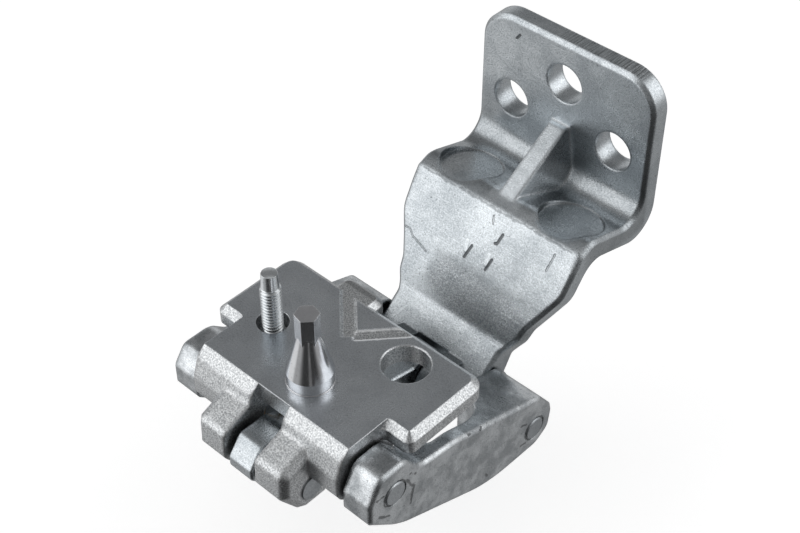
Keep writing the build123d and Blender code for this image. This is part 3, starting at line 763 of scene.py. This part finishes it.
def cut_thread_stud():
    """The stud with its rolled thread, recess root and plain point, as one closed turned piece."""
    angles = [2 * math.pi * j / STUD_SEGMENTS for j in range(STUD_SEGMENTS)]
    point = [(POINT_TIP_RADIUS - inset, STUD_TOP - depth) for inset, depth in POINT_ROUND]
    root = [(STUD_ROOT_RADIUS, STUD_RECESS), (STUD_ROOT_RADIUS, STUD_ROOT)]
    mesh = bmesh.new()
    wind_thread(mesh, angles)
    turn_profile(mesh, angles, [(POINT_BASE_RADIUS, THREAD_TOP), *point])
    turn_profile(mesh, angles, [(POINT_BASE_RADIUS, STUD_RECESS), *root])
    bmesh.ops.remove_doubles(mesh, verts=mesh.verts, dist=1e-5)
    bmesh.ops.recalc_face_normals(mesh, faces=mesh.faces)
    bmesh.ops.scale(mesh, vec=(MM, MM, MM), verts=mesh.verts)
    bmesh.ops.translate(mesh, vec=metres((*STUD_PLACE, 0)), verts=mesh.verts)
    shape = bpy.data.meshes.new("stud_with_thread")
    mesh.to_mesh(shape)
    mesh.free()
    smooth(shape, sharp_angle=40)
    shape.materials.append(stud_zinc)
    return add_to_scene("stud_with_thread", shape)


stud = cut_thread_stud()
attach(stud, "plate")
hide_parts("threaded_stud")


# Studio: pale floor, two soft boxes and the walls that the metal mirrors
def pale_floor(low):
    finish = bpy.data.materials.new("pale_floor")
    graph = empty_graph(finish)
    seen = graph.node("ShaderNodeLightPath").outputs["Is Camera Ray"]
    paper = graph.node(
        "ShaderNodeBsdfPrincipled",
        ("Base Color", colour(FLOOR_TONE)), ("Roughness", 0.9),
        ("Emission Color", colour(WHITE)), ("Emission Strength", graph.share(FLOOR_GLOW, seen)),
    )
    graph.node("ShaderNodeOutputMaterial", (0, paper.outputs[0]))
    shape = bpy.data.meshes.new("studio_floor")
    corners = [(-1, -1), (1, -1), (1, 1), (-1, 1)]
    shape.from_pydata([(x * FLOOR_REACH, y * FLOOR_REACH, low) for x, y in corners], [], [(0, 1, 2, 3)])
    shape.materials.append(finish)
    floor = add_to_scene("studio_floor", shape)
    floor.visible_glossy = False


def soft_box(name, toward, watts):
    """A square lamp that looks at the object from the given direction."""
    lamp = bpy.data.lights.new(name, "AREA")
    lamp.shape = "SQUARE"
    lamp.size = LAMP_SIZE
    lamp.energy = watts
    holder = add_to_scene(name, lamp)
    away = Vector(toward).normalized()
    holder.location = Vector(LAMP_AIM) + away * LAMP_DISTANCE
    holder.rotation_euler = away.to_track_quat("Z", "Y").to_euler()
    holder.visible_glossy = False


def studio_world():
    """Metal mirrors a room of bright walls with a dark front right. The camera sees white."""
    world = bpy.data.worlds.new("studio_world")
    bpy.context.scene.world = world
    graph = empty_graph(world)
    way = graph.node("ShaderNodeTexCoord").outputs["Generated"]
    rise = graph.split(way)["Z"]
    level_way = graph.vector("NORMALIZE", graph.vector("MULTIPLY", way, (1.0, 1.0, 0.0)))

    def toward(direction, inner, outer, seen=way):
        """Mask about a direction: full within the inner angle, none past the outer one, in degrees."""
        along = graph.vector("DOT_PRODUCT", seen, tuple(Vector(direction).normalized()))
        return graph.span(along, math.cos(math.radians(outer)), math.cos(math.radians(inner)))

    room = graph.span(rise, 0.15, 0.6, WALL_LEVEL, CEILING_LEVEL)
    room = graph.most(room, graph.span(rise, 0.8, 0.95, 0.0, OVERHEAD_LEVEL))
    table = graph.blend(toward(PALE_TABLE, 18.0, 32.0), TABLE_LEVEL, PALE_TABLE_LEVEL)
    room = graph.blend(graph.span(rise, 0.0, -0.25), room, table)
    room = graph.most(room, graph.share(LEFT_WALL_LEVEL, toward(LEFT_WALL, 28.0, 47.0)))
    room = graph.most(room, graph.share(RIGHT_WALL_LEVEL, toward(RIGHT_WALL, 14.0, 38.0)))
    shade = graph.span(rise, -0.2, 0.25, SHADE_BELOW, SHADE_ABOVE)
    room = graph.blend(toward(DARK_SIDE, 28.0, 56.0, level_way), room, shade)
    room = graph.most(room, graph.share(GLINT_LEVEL, toward(GLINT, 2.0, 9.0)))
    rays = graph.node("ShaderNodeLightPath").outputs
    mirrored = graph.most(rays["Is Glossy Ray"], rays["Is Transmission Ray"])
    level = graph.blend(mirrored, PLAIN_LEVEL, room)
    level = graph.blend(rays["Is Camera Ray"], level, 1.0)
    glow = graph.node("ShaderNodeBackground", ("Color", colour(WHITE)), ("Strength", level))
    graph.node("ShaderNodeOutputWorld", (0, glow.outputs[0]))


def photo_camera():
    eye = bpy.data.cameras.new("photo_camera")
    eye.sensor_width = 36.0
    eye.lens = CAMERA_LENS
    eye.clip_start, eye.clip_end = 0.01, 50.0
    camera = add_to_scene("photo_camera", eye)
    camera.location = CAMERA_PLACE
    camera.rotation_euler = tuple(math.radians(angle) for angle in CAMERA_TURN)
    bpy.context.scene.camera = camera


pale_floor(cad_box[0].z - PLATE_DROP * MM)
studio_world()
soft_box("left_soft_box", toward=(-0.55, -0.8, 0.5), watts=2.2)
soft_box("right_soft_box", toward=(0.75, 0.5, 0.6), watts=1.8)
photo_camera()
bpy.context.scene.view_settings.view_transform = "Standard"
